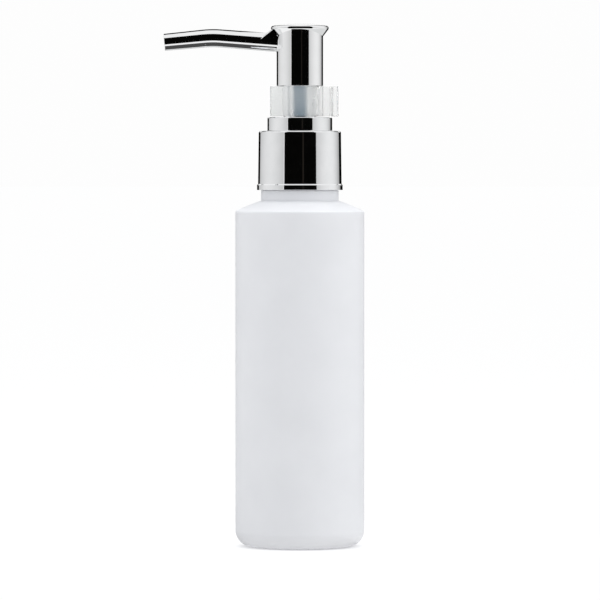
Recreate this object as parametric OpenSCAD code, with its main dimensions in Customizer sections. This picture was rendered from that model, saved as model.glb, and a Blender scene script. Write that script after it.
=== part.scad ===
// Lotion bottle with a screw closure, a press-down pump and the clip that locks it.
// Z is up, the origin is at the centre of the base, and the nozzle points to -X.

/* [Bottle] */
// Outside radius of the bottle
bottle_r = 21.9; // [20:0.1:25]
// Height of the edge where the side turns into the shoulder
shoulder_z = 114.2; // [105:0.2:135]
// Rise of the shoulder from that edge to the foot of the neck step
shoulder_rise = 3; // [2:0.1:6]
// Rounding of the edge between the side and the shoulder
shoulder_edge_r = 1.2; // [0.6:0.1:2]
// Wall of the blown bottle
bottle_wall = 1.1; // [0.8:0.05:1.5]
// Rounding of the corner round the base
base_corner_r = 5.5; // [3:0.1:6]
// Radius of the push-up under the base
push_up_r = 14.2; // [10:0.1:14.4]
// Depth of the push-up
push_up_depth = 1; // [0.5:0.1:2]

/* [Neck] */
// Radius of the plain step under the thread
neck_step_r = 13.16; // [12.6:0.02:13.5]
// Height of the step
neck_step_h = 3.9; // [2.5:0.1:6]
// Rounding of the step's upper edge
neck_step_edge_r = 0.3; // [0.2:0.1:1]
// Radius of the neck at the root of its thread
neck_r = 10.85; // [10.6:0.05:11]
// Radius at the crest of the thread
neck_thread_r = 11.95; // [11.8:0.05:12.1]
// Radius of the bore through the neck
neck_bore_r = 9; // [8.7:0.05:9.4]
// Height from the top of the step to the rim
neck_finish_h = 15.7; // [14:0.1:18]

/* [Closure] */
// Wall of the insert's threaded skirt at its top, which sets the radius of the main tier
skirt_wall = 1.23; // [1:0.01:1.6]
// Growth of the main tier's radius from its top to its lower edge
main_draft = 0.25; // [0.1:0.05:0.5]
// Step out from the main tier to the bead round its lower edge
bead_out = 0.3; // [0.2:0.02:0.6]
// Height of the bead
bead_h = 2.05; // [1.3:0.05:2.5]
// Height of the slope on top of the bead
bead_slope_h = 0.5; // [0.3:0.05:0.8]
// Radius of the upper tier
upper_r = 11.05; // [10.6:0.05:11.6]
// Height of the upper tier
upper_h = 5; // [4:0.1:7]
// Wall of the metal shell
shell_wall = 0.5; // [0.3:0.05:0.7]
// Rounding of the shell's two upper edges
shell_edge_r = 0.5; // [0.3:0.05:0.8]
// Gap between the neck step and the closure's lower edge
skirt_gap = 0.3; // [0.2:0.1:1]
// Top wall of the threaded insert
insert_wall = 1.3; // [1:0.1:1.8]
// Wall of the collar that backs the upper tier
collar_wall = 1.1; // [0.8:0.05:1.3]
// Thickness of the gasket
gasket_h = 1; // [0.6:0.1:1.6]

/* [Head] */
// Free height between the closure and the head, which the clip fills
head_gap = 10.8; // [8:0.1:12]
// Radius of the head
head_r = 7.88; // [7.6:0.02:9]
// Height of the head's straight part
head_h = 16.6; // [15:0.1:22]
// Reach of the oval rim along the nozzle's direction, from the pump's axis
rim_r = 9.86; // [9.4:0.02:11]
// Reach of the rim across the nozzle's direction
rim_side_r = 8.15; // [8:0.05:9]
// Height from the foot of the flare to the top of the rim
flare_h = 3.6; // [2.8:0.05:4.5]
// Rounding of the rim
rim_edge_r = 0.75; // [0.4:0.05:0.9]
// Rounding of the head's lower edge
head_edge_r = 0.3; // [0.15:0.05:0.5]
// Rise of the domed top above the rim
dome_rise = 0.75; // [0.4:0.05:1.5]
// Radius of the hub between the head and the closure
core_r = 5.45; // [5.2:0.05:5.6]
// Length of the hub that is seated in the head
core_seat_h = 8.5; // [6:0.1:10]

/* [Nozzle] */
// Distance from the pump's axis to the tip
nozzle_reach = 46.1; // [40:0.1:55]
// Distance from the pump's axis to the bend
nozzle_bend_x = 29.7; // [24:0.1:33]
// Depth of the nozzle's line under the flare, at the pump's axis
nozzle_drop = 2.65; // [2:0.05:4]
// Outside radius at the head
nozzle_root_r = 3.05; // [2.8:0.05:3.4]
// Outside radius round the bend
nozzle_bend_r = 2.98; // [2.7:0.02:3.2]
// Outside radius at the tip
nozzle_tip_r = 2.86; // [2.6:0.02:3]
// Radius of the bore
nozzle_bore_r = 1.9; // [1.5:0.05:2]
// Radius of the bend along the nozzle's line
bend_line_r = 33; // [20:1:45]
// Fillet where the nozzle leaves the head
root_fillet_r = 0.4; // [0.3:0.1:1.2]
// Reach of the gusset's foot along the nozzle, from the pump's axis
gusset_reach = 13.5; // [12:0.1:15]
// Rounding of the gusset's two sloping edges
gusset_edge_r = 0.6; // [0.3:0.1:1]

/* [Lock clip] */
// Inside radius of the clip's ring
clip_in_r = 5.9; // [5.7:0.05:6.2]
// How far the ring's outside lies inside the head's
clip_inset = 0.03; // [0:0.01:0.3]
// Reach of the flared lips, from the pump's axis
lip_reach = 10; // [9.4:0.1:11]
// Half width between the tips of the lips, at their middle
lip_half_w = 6; // [5.4:0.1:6.4]
// Thickness of the lips
lip_t = 1.3; // [1:0.1:1.6]
// Reach of the grip's outer face, from the pump's axis
grip_reach = 13.1; // [12.4:0.1:16]
// Thickness of the grip
grip_t = 2.5; // [1.5:0.1:3]
// Width of the grip
grip_w = 13; // [9:0.5:15]
// Thickness of the web between the ring and the grip
grip_web_t = 2; // [1.4:0.1:3]

/* [Pump] */
// Bore of the pump's cylinder, as a radius
bore_r = 5.2; // [4.6:0.05:5.3]
// Wall of the housing
housing_wall = 0.9; // [0.7:0.05:1]
// Radius of the housing's flange
flange_r = 10.6; // [10.2:0.05:10.8]
// Thickness of the flange
flange_h = 1.2; // [0.9:0.1:1.6]
// Inside radius of the cup under the flange
cup_r = 7.3; // [7.2:0.02:7.4]
// Radius of the well that the hub sinks into
well_r = 6; // [5.9:0.05:6.3]
// Thickness of the well's floor
well_floor_t = 1; // [0.8:0.1:1.6]
// Thickness of the chaplet's flange
chaplet_flange_h = 1; // [0.7:0.1:1.5]
// Outside radius of the stem
stem_r = 2.8; // [2.6:0.05:3]
// Radius of the bore through the stem
stem_bore_r = 1.6; // [1.3:0.05:1.7]
// Radius of the stem where the piston slides on it
stem_slim_r = 2.3; // [2.1:0.05:2.4]
// Length of the stem in the hub's socket
stem_seat_h = 12; // [9:0.5:13]
// Height of the piston
piston_h = 4; // [3.6:0.1:6]
// Travel of the piston on the stem
piston_slip = 0.8; // [0.5:0.1:1.2]
// Length of the return spring at rest
spring_len = 17.6; // [16:0.1:24]
// Radius of the spring's wire
wire_r = 0.35; // [0.25:0.05:0.38]
// Mean radius of the spring's coils
coil_r = 3.45; // [3.3:0.05:3.6]
// Number of coils
coils = 7.5; // [5:0.5:8]
// Radius of the inlet ball
ball_r = 2; // [1.7:0.05:2.2]
// Lift of the inlet ball
ball_lift = 1.2; // [0.6:0.1:1.6]
// Outside radius of the dip tube
dip_tube_r = 2.25; // [2:0.05:2.4]
// Wall of the dip tube
dip_tube_wall = 0.6; // [0.4:0.05:0.8]
// Height of the dip tube's tip above the bottle's floor
dip_gap = 0.9; // [0.5:0.1:6]
// Length of the dip tube in its socket
dip_socket_h = 6; // [4:0.5:8]

/* [Fits] */
// Gap between pieces that are seated in each other
seat_gap = 0.05; // [0.02:0.01:0.1]
// Radial gap of a running fit
run_gap = 0.05; // [0.02:0.01:0.1]
// Gap between pieces that turn beside each other
turn_gap = 0.3; // [0.2:0.05:0.4]
// Gap left at the stops of the stroke
stop_gap = 0.2; // [0.1:0.05:0.3]
// Gap above and below the clip
clip_gap = 0.2; // [0.1:0.05:0.4]
// Gap between the head and the closure when the head is pressed
end_gap = 0.4; // [0.3:0.1:1]

/* [Hidden] */
$fn = 96;

// One overrun serves all cuts
overrun = 1;

// Levels from the table up to the closure's top
foot_z = shoulder_z + shoulder_rise;
step_top_z = foot_z + neck_step_h;
rim_z = step_top_z + neck_finish_h;
flange_z = rim_z + gasket_h;
flange_top_z = flange_z + flange_h;
insert_under_z = flange_top_z + seat_gap;
insert_top_z = insert_under_z + insert_wall;
tier_z = insert_top_z + seat_gap + shell_wall;
closure_top_z = tier_z + upper_h;
closure_bottom_z = step_top_z + skirt_gap;

// Small sizes of the hidden pieces
hub_dip = 0.4;
hub_edge = 0.3;
hub_wall = 0.85;
stem_shoulder_r = 3.7;
stem_shoulder_h = 1.5;
stem_port_r = 0.5;
piston_hub_wall = 1.2;
piston_ring_wall = 0.5;
piston_lip = 0.25;
piston_lip_h = 0.5;
piston_web_t = 1;
piston_land_h = 1.3;
plug_h = 1.4;
plug_spigot_h = 1.2;
plug_boss_h = 2;
retainer_h = 2;
retainer_rim_h = 1.5;
retainer_port_r = 0.7;
inlet_r = 1.2;
inlet_h = 1.2;
chamber_side_gap = 0.9;
vent_r = 0.45;
snap_bead = 0.2;
snap_bead_h = 0.5;
blend_step = 0.03;
blend_lap = 0.8;

// Angles
seat_angle = 45;
mouth_angle = 40;
slant_angle = 35;
nozzle_rise_angle = 4.7;
nozzle_fall_angle = 5.4;

// Levels of the hub, the stroke and the well
head_z = closure_top_z + head_gap;
stroke = head_gap - end_gap;
hub_z = closure_top_z - hub_dip;
well_floor_z = hub_z - stroke - stop_gap;
well_under_z = well_floor_z - well_floor_t;

// Levels of the stem, the piston and the spring at rest
stem_shoulder_z = well_under_z - stop_gap - stem_shoulder_h;
piston_top_z = stem_shoulder_z - stop_gap - piston_slip;
piston_z = piston_top_z - piston_h;
plug_top_z = piston_z - seat_gap;
plug_z = plug_top_z - plug_h;
spring_top_z = plug_z - seat_gap;
spring_z = spring_top_z - spring_len;
stem_top_z = hub_z + stem_seat_h;

// Levels of the inlet valve and the dip tube
retainer_top_z = spring_z - seat_gap;
bore_floor_z = retainer_top_z - retainer_h;
ball_z = bore_floor_z - stop_gap - ball_lift - ball_r;
seat_apex_z = ball_z - (ball_r + seat_gap) / sin(seat_angle);
inlet_top_z = seat_apex_z + inlet_r / tan(seat_angle);
chamber_r = ball_r + chamber_side_gap;
chamber_z = seat_apex_z + chamber_r / tan(seat_angle);
socket_top_z = inlet_top_z - inlet_h;
socket_z = socket_top_z - dip_socket_h;
dip_z = push_up_depth + bottle_wall + dip_gap;

// Radii that follow from the fits
cup_out_r = cup_r + housing_wall;
bore_out_r = bore_r + housing_wall;
chamber_out_r = chamber_r + housing_wall;
socket_r = dip_tube_r + seat_gap;
socket_out_r = socket_r + housing_wall;
sleeve_r = cup_r - seat_gap;
guide_r = stem_r + run_gap;
skirt_in_r = neck_thread_r + turn_gap;
skirt_out_r = skirt_in_r + skirt_wall;
main_r_top = skirt_out_r + seat_gap + shell_wall;
main_r_bottom = main_r_top + main_draft;
bead_r = main_r_bottom + bead_out;
collar_out_r = upper_r - shell_wall - seat_gap;
collar_in_r = collar_out_r - collar_wall;
shell_hole_r = well_r + seat_gap;
snap_z = (flange_top_z + well_floor_z) / 2;
clip_out_r = head_r - clip_inset;

// Line of the nozzle, which rises from the head to its bend and falls from there to the tip
nozzle_axis_z = head_z + head_h - nozzle_drop;
bend_z = nozzle_axis_z + nozzle_bend_x * tan(nozzle_rise_angle);
bend_angle = nozzle_rise_angle + nozzle_fall_angle;
bend_lean = (nozzle_rise_angle - nozzle_fall_angle) / 2;
bend_tangent = bend_line_r * tan(bend_angle / 2);
root_run = nozzle_bend_x / cos(nozzle_rise_angle);
tip_run = (nozzle_reach - nozzle_bend_x) / cos(nozzle_fall_angle);

// Points along an arc round a centre, from one angle to another
function arc(centre, r, from, to, steps = 8) =
    [for (i = [0:steps]) let (a = from + (to - from) * i / steps) centre + r * [cos(a), sin(a)]];

// Height of the shoulder above its lower edge, at a share of the way in to the neck
shoulder_crown_share = 0.25;
function shoulder_at(share) = shoulder_rise * share * (1 + shoulder_crown_share * (1 - share));

// Outline of the bottle's outer face from its side to the foot of the neck step, moved in by a wall
shoulder_slope = atan(shoulder_rise * (1 + shoulder_crown_share) / (bottle_r - neck_step_r));
shoulder_steps = 10;
function shoulder_points(wall) =
    let (r = max(shoulder_edge_r - wall, shoulder_edge_r / 8),
         centre = [bottle_r - wall - r, shoulder_z - wall - r],
         turned = arc(centre, r, 0, 90 - shoulder_slope, 5),
         start = turned[len(turned) - 1],
         run = start[0] - (neck_step_r - wall))
    concat(turned,
           [for (i = [1:shoulder_steps]) let (s = i / shoulder_steps)
               [start[0] - run * s, start[1] + shoulder_at(s)]]);

// Underside of the base, from the axis out to the standing ring
push_up_steps = 10;
function push_up_points(lift) =
    [for (i = [0:push_up_steps]) let (s = i / push_up_steps)
        [push_up_r * s, lift + push_up_depth * (1 + cos(180 * s)) / 2]];

module bottle() {
    inner_corner_r = base_corner_r - bottle_wall;
    bore_z = foot_z + neck_step_h / 2;
    outer = concat(
        push_up_points(0),
        arc([bottle_r - base_corner_r, base_corner_r], base_corner_r, -90, 0),
        shoulder_points(0),
        arc([neck_step_r - neck_step_edge_r, step_top_z - neck_step_edge_r], neck_step_edge_r, 0, 90, 4),
        [[neck_r, step_top_z], [neck_r, rim_z]]);
    inner = concat(
        push_up_points(bottle_wall),
        arc([bottle_r - base_corner_r, base_corner_r], inner_corner_r, -90, 0),
        shoulder_points(bottle_wall),
        [[neck_bore_r, bore_z], [neck_bore_r, rim_z]]);
    color("white")
    rotate_extrude()
        polygon(concat(outer, [for (i = [len(inner) - 1:-1:0]) inner[i]]));
}

module gasket() {
    color("whitesmoke")
    translate([0, 0, rim_z])
        ring(cup_out_r + turn_gap, flange_r, gasket_h);
}

// Straight ring that stands on the XY plane
module ring(r_in, r_out, h) {
    difference() {
        cylinder(r = r_out, h = h);
        translate([0, 0, -overrun])
            cylinder(r = r_in, h = h + 2 * overrun);
    }
}

module closure_shell() {
    bead_round = shell_wall / 2;
    bead_top_z = closure_bottom_z + bead_h;
    in_bottom_r = main_r_bottom - shell_wall;
    in_top_r = main_r_top - shell_wall;
    upper_in_r = upper_r - shell_wall;
    in_edge_r = shell_edge_r / 2;
    color("silver")
    rotate_extrude()
        polygon(concat(
            [[in_bottom_r, closure_bottom_z]],
            arc([bead_r - bead_round, closure_bottom_z + bead_round], bead_round, -90, 0, 4),
            [[bead_r, bead_top_z - bead_slope_h], [main_r_bottom, bead_top_z]],
            arc([main_r_top - shell_edge_r, tier_z - shell_edge_r], shell_edge_r, 0, 90, 5),
            [[upper_r, tier_z]],
            arc([upper_r - shell_edge_r, closure_top_z - shell_edge_r], shell_edge_r, 0, 90, 5),
            [[shell_hole_r, closure_top_z], [shell_hole_r, closure_top_z - shell_wall]],
            arc([upper_in_r - in_edge_r, closure_top_z - shell_wall - in_edge_r], in_edge_r, 90, 0, 3),
            [[upper_in_r, tier_z - shell_wall]],
            arc([in_top_r - in_edge_r, tier_z - shell_wall - in_edge_r], in_edge_r, 90, 0, 3)));
}

module closure_insert() {
    skirt_inset = shell_wall;
    in_edge_r = shell_edge_r / 2;
    collar_top_z = closure_top_z - shell_wall - seat_gap;
    color("whitesmoke")
    rotate_extrude()
        polygon(concat(
            [[skirt_in_r, closure_bottom_z + skirt_inset],
             [skirt_out_r + main_draft, closure_bottom_z + skirt_inset]],
            arc([skirt_out_r - in_edge_r, insert_top_z - in_edge_r], in_edge_r, 0, 90, 3),
            [[collar_out_r, insert_top_z]],
            arc([collar_out_r - in_edge_r, collar_top_z - in_edge_r], in_edge_r, 0, 90, 3),
            [[collar_in_r, collar_top_z],
             [collar_in_r, insert_top_z],
             [sleeve_r + turn_gap, insert_top_z],
             [sleeve_r + turn_gap, insert_under_z],
             [skirt_in_r, insert_under_z]]));
}

module pump_housing() {
    cup_floor_z = well_under_z - seat_gap;
    cup_under_z = cup_floor_z - housing_wall;
    color("white")
    difference() {
        rotate_extrude()
            polygon([
                [flange_r, flange_top_z],
                [flange_r, flange_z],
                [cup_out_r, flange_z],
                [cup_out_r, cup_under_z],
                [bore_out_r, cup_under_z],
                [bore_out_r, bore_floor_z],
                [chamber_out_r, bore_floor_z - (bore_out_r - chamber_out_r)],
                [chamber_out_r, socket_top_z + (chamber_out_r - socket_out_r)],
                [socket_out_r, socket_top_z],
                [socket_out_r, socket_z],
                [socket_r, socket_z],
                [socket_r, socket_top_z],
                [inlet_r, socket_top_z],
                [inlet_r, inlet_top_z],
                [chamber_r, chamber_z],
                [chamber_r, bore_floor_z],
                [bore_r, bore_floor_z],
                [bore_r, cup_floor_z],
                [cup_r, cup_floor_z],
                [cup_r, snap_z - snap_bead_h],
                [cup_r + snap_bead, snap_z],
                [cup_r, snap_z + snap_bead_h],
                [cup_r, flange_top_z]]);
        translate([0, 0, piston_z + piston_h / 2])
            rotate([0, 90, 0])
                cylinder(r = vent_r, h = bore_out_r + overrun);
    }
}

module chaplet() {
    flange2_z = insert_top_z + seat_gap;
    color("white")
    rotate_extrude()
        polygon([
            [guide_r, well_under_z],
            [sleeve_r, well_under_z],
            [sleeve_r, snap_z - snap_bead_h],
            [sleeve_r + snap_bead, snap_z],
            [sleeve_r, snap_z + snap_bead_h],
            [sleeve_r, flange2_z],
            [collar_in_r - turn_gap, flange2_z],
            [collar_in_r - turn_gap, flange2_z + chaplet_flange_h],
            [sleeve_r, flange2_z + chaplet_flange_h],
            [sleeve_r, closure_top_z - shell_wall - seat_gap],
            [well_r, closure_top_z - shell_wall - seat_gap],
            [well_r, well_floor_z],
            [guide_r, well_floor_z]]);
}

module stem() {
    port_z = piston_z + plug_spigot_h + 2 * stem_port_r;
    color("white")
    difference() {
        rotate_extrude()
            polygon([
                [stem_bore_r, plug_top_z + seat_gap],
                [stem_slim_r, plug_top_z + seat_gap],
                [stem_slim_r, stem_shoulder_z],
                [stem_shoulder_r, stem_shoulder_z],
                [stem_shoulder_r, stem_shoulder_z + stem_shoulder_h],
                [stem_r, stem_shoulder_z + stem_shoulder_h],
                [stem_r, stem_top_z],
                [stem_bore_r, stem_top_z]]);
        translate([0, 0, port_z])
            rotate([90, 0, 0])
                cylinder(r = stem_port_r, h = 2 * (stem_slim_r + overrun), center = true);
    }
}

// The hub slides on the stem, and its lower rim seats on the plug. The lips wipe the bore.
module piston() {
    hub_in_r = stem_slim_r + run_gap;
    hub_out_r = hub_in_r + piston_hub_wall;
    pocket_r = (hub_in_r + hub_out_r) / 2;
    lip_r = bore_r - run_gap;
    ring_out_r = lip_r - piston_lip;
    ring_in_r = ring_out_r - piston_ring_wall;
    web_z = piston_z + (piston_h - piston_web_t) / 2;
    web_top_z = web_z + piston_web_t;
    color("gainsboro")
    rotate_extrude()
        polygon([
            [pocket_r, piston_z],
            [hub_out_r, piston_z],
            [hub_out_r, web_z],
            [ring_in_r, web_z],
            [ring_in_r, piston_z],
            [lip_r, piston_z],
            [lip_r, piston_z + piston_lip_h],
            [ring_out_r, piston_z + 2 * piston_lip_h],
            [ring_out_r, piston_top_z - 2 * piston_lip_h],
            [lip_r, piston_top_z - piston_lip_h],
            [lip_r, piston_top_z],
            [ring_in_r, piston_top_z],
            [ring_in_r, web_top_z],
            [hub_out_r, web_top_z],
            [hub_out_r, piston_top_z],
            [hub_in_r, piston_top_z],
            [hub_in_r, piston_top_z - piston_land_h],
            [pocket_r, piston_top_z - piston_land_h]]);
}

// Snaps up into the stem, closes the piston from below and centres the top of the spring
module piston_plug() {
    boss_r = coil_r - wire_r - stop_gap;
    disc_r = coil_r + wire_r;
    spigot_r = stem_bore_r - run_gap;
    color("white")
    rotate_extrude()
        polygon([
            [0, plug_z - plug_boss_h],
            [boss_r - plug_boss_h / 4, plug_z - plug_boss_h],
            [boss_r, plug_z - plug_boss_h / 2],
            [boss_r, plug_z],
            [disc_r, plug_z],
            [disc_r, plug_top_z],
            [spigot_r, plug_top_z],
            [spigot_r, plug_top_z + plug_spigot_h],
            [0, plug_top_z + plug_spigot_h]]);
}

// Coil of round wire, with a closed turn at each end
spring_sides = 8;
spring_steps = 22;
function coil_z(turn) =
    let (closed = 2 * wire_r, open = (spring_len - 2 * wire_r - 2 * closed) / (coils - 2))
    wire_r + (turn < 1 ? closed * turn
        : turn < coils - 1 ? closed + open * (turn - 1)
        : closed + open * (coils - 2) + closed * (turn - coils + 1));

module return_spring() {
    rings = coils * spring_steps;
    points = [for (i = [0:rings], k = [0:spring_sides - 1])
        let (turn = i / spring_steps, a = 360 * turn, b = 360 * k / spring_sides, r = coil_r + wire_r * cos(b))
        [r * cos(a), r * sin(a), spring_z + coil_z(turn) + wire_r * sin(b)]];
    sides = [for (i = [0:rings - 1], k = [0:spring_sides - 1])
        let (n = (k + 1) % spring_sides, low = i * spring_sides, high = low + spring_sides)
        [low + k, high + k, high + n, low + n]];
    last = rings * spring_sides;
    ends = [[for (k = [0:spring_sides - 1]) k], [for (k = [spring_sides - 1:-1:0]) last + k]];
    color("silver")
    polyhedron(points = points, faces = concat(sides, ends));
}

// Sits on the floor of the bore, carries the spring's foot and stops the ball
module ball_retainer() {
    port_count = 4;
    port_circle_r = coil_r - wire_r - retainer_port_r - stop_gap;
    foot_r = coil_r + wire_r + stop_gap;
    color("white")
    translate([0, 0, bore_floor_z])
    difference() {
        cylinder(r = bore_r - seat_gap, h = retainer_h + retainer_rim_h);
        translate([0, 0, retainer_h])
            cylinder(r = foot_r, h = retainer_rim_h + overrun);
        for (i = [0:port_count - 1])
            rotate([0, 0, 360 * i / port_count])
                translate([port_circle_r, 0, -overrun])
                    cylinder(r = retainer_port_r, h = retainer_h + 2 * overrun);
    }
}

module inlet_ball() {
    color("silver")
    translate([0, 0, ball_z])
        sphere(r = ball_r);
}

// The foot is cut at a slant, so that it can't seal against the floor
module dip_tube() {
    cut = 4 * dip_tube_r;
    color("white")
    translate([0, 0, dip_z])
    difference() {
        ring(dip_tube_r - dip_tube_wall, dip_tube_r, socket_top_z - seat_gap - dip_z);
        translate([-dip_tube_r, 0, 0])
            rotate([0, -slant_angle, 0])
                translate([-cut, -cut, -cut])
                    cube([2 * cut, 2 * cut, cut]);
    }
}

// Hub with a socket for the stem, seated in the head
module head_core() {
    top_z = head_z + core_seat_h;
    stem_socket_r = stem_r + seat_gap;
    hollow_in_r = stem_socket_r + hub_wall;
    hollow_out_r = core_r - hub_wall;
    color("silver")
    rotate_extrude()
        polygon([
            [stem_socket_r, hub_z],
            [hollow_in_r, hub_z],
            [hollow_in_r, stem_top_z],
            [hollow_out_r, stem_top_z],
            [hollow_out_r, hub_z],
            [core_r - hub_edge, hub_z],
            [core_r, hub_z + hub_edge],
            [core_r, top_z],
            [stem_bore_r, top_z],
            [stem_bore_r, stem_top_z + seat_gap],
            [stem_socket_r, stem_top_z + seat_gap]]);
}

// Places what stands along Z at the bend, pointing at the head
module from_bend_to_head() {
    translate([-nozzle_bend_x, 0, bend_z])
        rotate([0, 90 + nozzle_rise_angle, 0])
            children();
}

// Places what stands along Z at the bend, pointing at the tip
module from_bend_to_tip() {
    translate([-nozzle_bend_x, 0, bend_z])
        rotate([0, -90 - nozzle_fall_angle, 0])
            children();
}

// Round bar along the bend's arc
module bend_arc(r) {
    centre_drop = bend_line_r / cos(bend_angle / 2);
    translate([-nozzle_bend_x, 0, bend_z])
        translate(-centre_drop * [sin(bend_lean), 0, cos(bend_lean)])
            rotate([90, 0, 0])
                rotate([0, 0, 90 - nozzle_rise_angle])
                    rotate_extrude(angle = bend_angle)
                        translate([bend_line_r, 0])
                            circle(r = r);
}

// The straight stretches end inside the bend, a hair thinner, so that no two faces coincide
module nozzle_tube() {
    tip_edge = (nozzle_tip_r - nozzle_bore_r) / 4;
    straight = bend_tangent - blend_lap;
    bend_arc(nozzle_bend_r);
    from_bend_to_head()
        translate([0, 0, straight])
            cylinder(r1 = nozzle_bend_r - blend_step, r2 = nozzle_root_r, h = root_run - straight);
    from_bend_to_tip()
        rotate_extrude()
            polygon([[0, straight],
                     [nozzle_bend_r - blend_step, straight],
                     [nozzle_tip_r, tip_run - tip_edge],
                     [nozzle_tip_r - tip_edge, tip_run],
                     [0, tip_run]]);
}

module nozzle_bores() {
    straight = bend_tangent - blend_lap;
    bend_arc(nozzle_bore_r + blend_step);
    from_bend_to_head()
        translate([0, 0, straight])
            cylinder(r = nozzle_bore_r, h = root_run - straight);
    from_bend_to_tip()
        translate([0, 0, straight])
            cylinder(r = nozzle_bore_r, h = tip_run - straight + overrun);
    translate([0, 0, head_z])
        cylinder(r = stem_bore_r, h = nozzle_axis_z + stem_bore_r - head_z);
}

// Concave ring that blends the nozzle into the head's side
module root_fillet() {
    wall_distance = root_run - head_r / cos(nozzle_rise_angle);
    base_r = nozzle_root_r - seat_gap;
    from_bend_to_head()
        translate([0, 0, wall_distance - root_fillet_r])
            rotate_extrude()
                polygon(concat(
                    [[0, 0]],
                    arc([base_r + root_fillet_r, 0], root_fillet_r, 180, 90, 6),
                    [[base_r + root_fillet_r, 2 * root_fillet_r], [0, 2 * root_fillet_r]]));
}

// Wedge from the flare's rim down to the middle of the nozzle's side
module gusset() {
    rim_top_z = head_z + head_h + flare_h;
    high = [-rim_r + rim_edge_r, rim_top_z - 2 * rim_edge_r];
    low = [-gusset_reach, bend_z - (nozzle_bend_x - gusset_reach) * tan(nozzle_rise_angle)];
    slope = high - low;
    length = norm(slope);
    angle = atan2(slope[1], slope[0]);
    half_w = nozzle_root_r - seat_gap;
    depth = head_r;
    intersection() {
        translate([0, half_w, 0])
            rotate([90, 0, 0])
                linear_extrude(height = 2 * half_w)
                    polygon([high, low, [-head_r / 2, low[1]], [-head_r / 2, high[1]]]);
        translate([low[0], 0, low[1]])
            rotate([0, 90 - angle, 0])
                translate([0, 0, -length])
                    linear_extrude(height = 3 * length) {
                        translate([gusset_edge_r, -half_w])
                            square([depth, 2 * half_w]);
                        translate([0, -half_w + gusset_edge_r])
                            square([depth, 2 * (half_w - gusset_edge_r)]);
                        for (side = [-1, 1])
                            translate([gusset_edge_r, side * (half_w - gusset_edge_r)])
                                circle(r = gusset_edge_r);
                    }
    }
}

// Outline of the domed top, from the rim in to the axis
dome_power = 2.2;
dome_steps = 14;
function dome_points(rim_top_z) =
    [for (i = [1:dome_steps]) let (s = 1 - pow(i / dome_steps, 2))
        [(rim_r - rim_edge_r) * s, rim_top_z + dome_rise * (1 - pow(s, dome_power))]];

// Round body, and an oval top that flares out at its two ends
module head_body() {
    flare_z = head_z + head_h;
    rim_top_z = flare_z + flare_h;
    body_top_z = rim_top_z - rim_edge_r;
    flare_way = [rim_r - rim_edge_r - head_r, flare_h - rim_edge_r];
    flare_lean = atan2(flare_way[1], flare_way[0]) - asin(rim_edge_r / norm(flare_way));
    rotate_extrude()
        polygon(concat(
            [[0, head_z]],
            arc([head_r - head_edge_r, head_z + head_edge_r], head_edge_r, -90, 0, 3),
            [[head_r, body_top_z], [0, body_top_z]]));
    scale([1, rim_side_r / rim_r, 1])
        rotate_extrude()
            polygon(concat(
                [[0, flare_z], [head_r - blend_step, flare_z]],
                arc([rim_r - rim_edge_r, body_top_z], rim_edge_r, flare_lean - 90, 90, 7),
                dome_points(rim_top_z)));
}

module head() {
    color("silver")
    difference() {
        union() {
            head_body();
            nozzle_tube();
            root_fillet();
            gusset();
        }
        translate([0, 0, head_z - overrun])
            cylinder(r = core_r + seat_gap, h = core_seat_h + seat_gap + overrun);
        nozzle_bores();
    }
}

// Straight bar with round ends, between two points of the plan
module bar(from, to, width) {
    way = to - from;
    translate(from) {
        circle(r = width / 2);
        rotate([0, 0, atan2(way[1], way[0])])
            translate([0, -width / 2])
                square([norm(way), width]);
    }
    translate(to)
        circle(r = width / 2);
}

// Open ring with flared lips at its mouth, and a grip on a web behind it
module lock_clip() {
    middle_r = (clip_in_r + clip_out_r) / 2;
    grip_x = grip_reach - grip_t / 2;
    color([0.93, 0.94, 0.94, 0.7])
    translate([0, 0, closure_top_z + clip_gap])
        linear_extrude(height = head_gap - 2 * clip_gap) {
            difference() {
                circle(r = clip_out_r);
                circle(r = clip_in_r);
                polygon([[0, 0],
                         2 * clip_out_r * [-cos(mouth_angle), -sin(mouth_angle)],
                         2 * clip_out_r * [-cos(mouth_angle), sin(mouth_angle)]]);
            }
            for (side = [-1, 1])
                bar(middle_r * [-cos(mouth_angle), side * sin(mouth_angle)],
                    [-lip_reach + lip_t / 2, side * lip_half_w], lip_t);
            bar([middle_r, 0], [grip_x, 0], grip_web_t);
            bar([grip_x, -(grip_w - grip_t) / 2], [grip_x, (grip_w - grip_t) / 2], grip_t);
        }
}

bottle();
gasket();
closure_shell();
closure_insert();
pump_housing();
chaplet();
stem();
piston();
piston_plug();
return_spring();
ball_retainer();
inlet_ball();
dip_tube();
head_core();
head();
lock_clip();
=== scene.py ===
"""Looks of the pump bottle: visual meshes, materials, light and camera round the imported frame.

Lengths in the shape builders are millimetres, and every mesh is scaled to metres when it is made.
"""
import math

import bmesh
import bpy
from mathutils import Matrix, Vector


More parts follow.
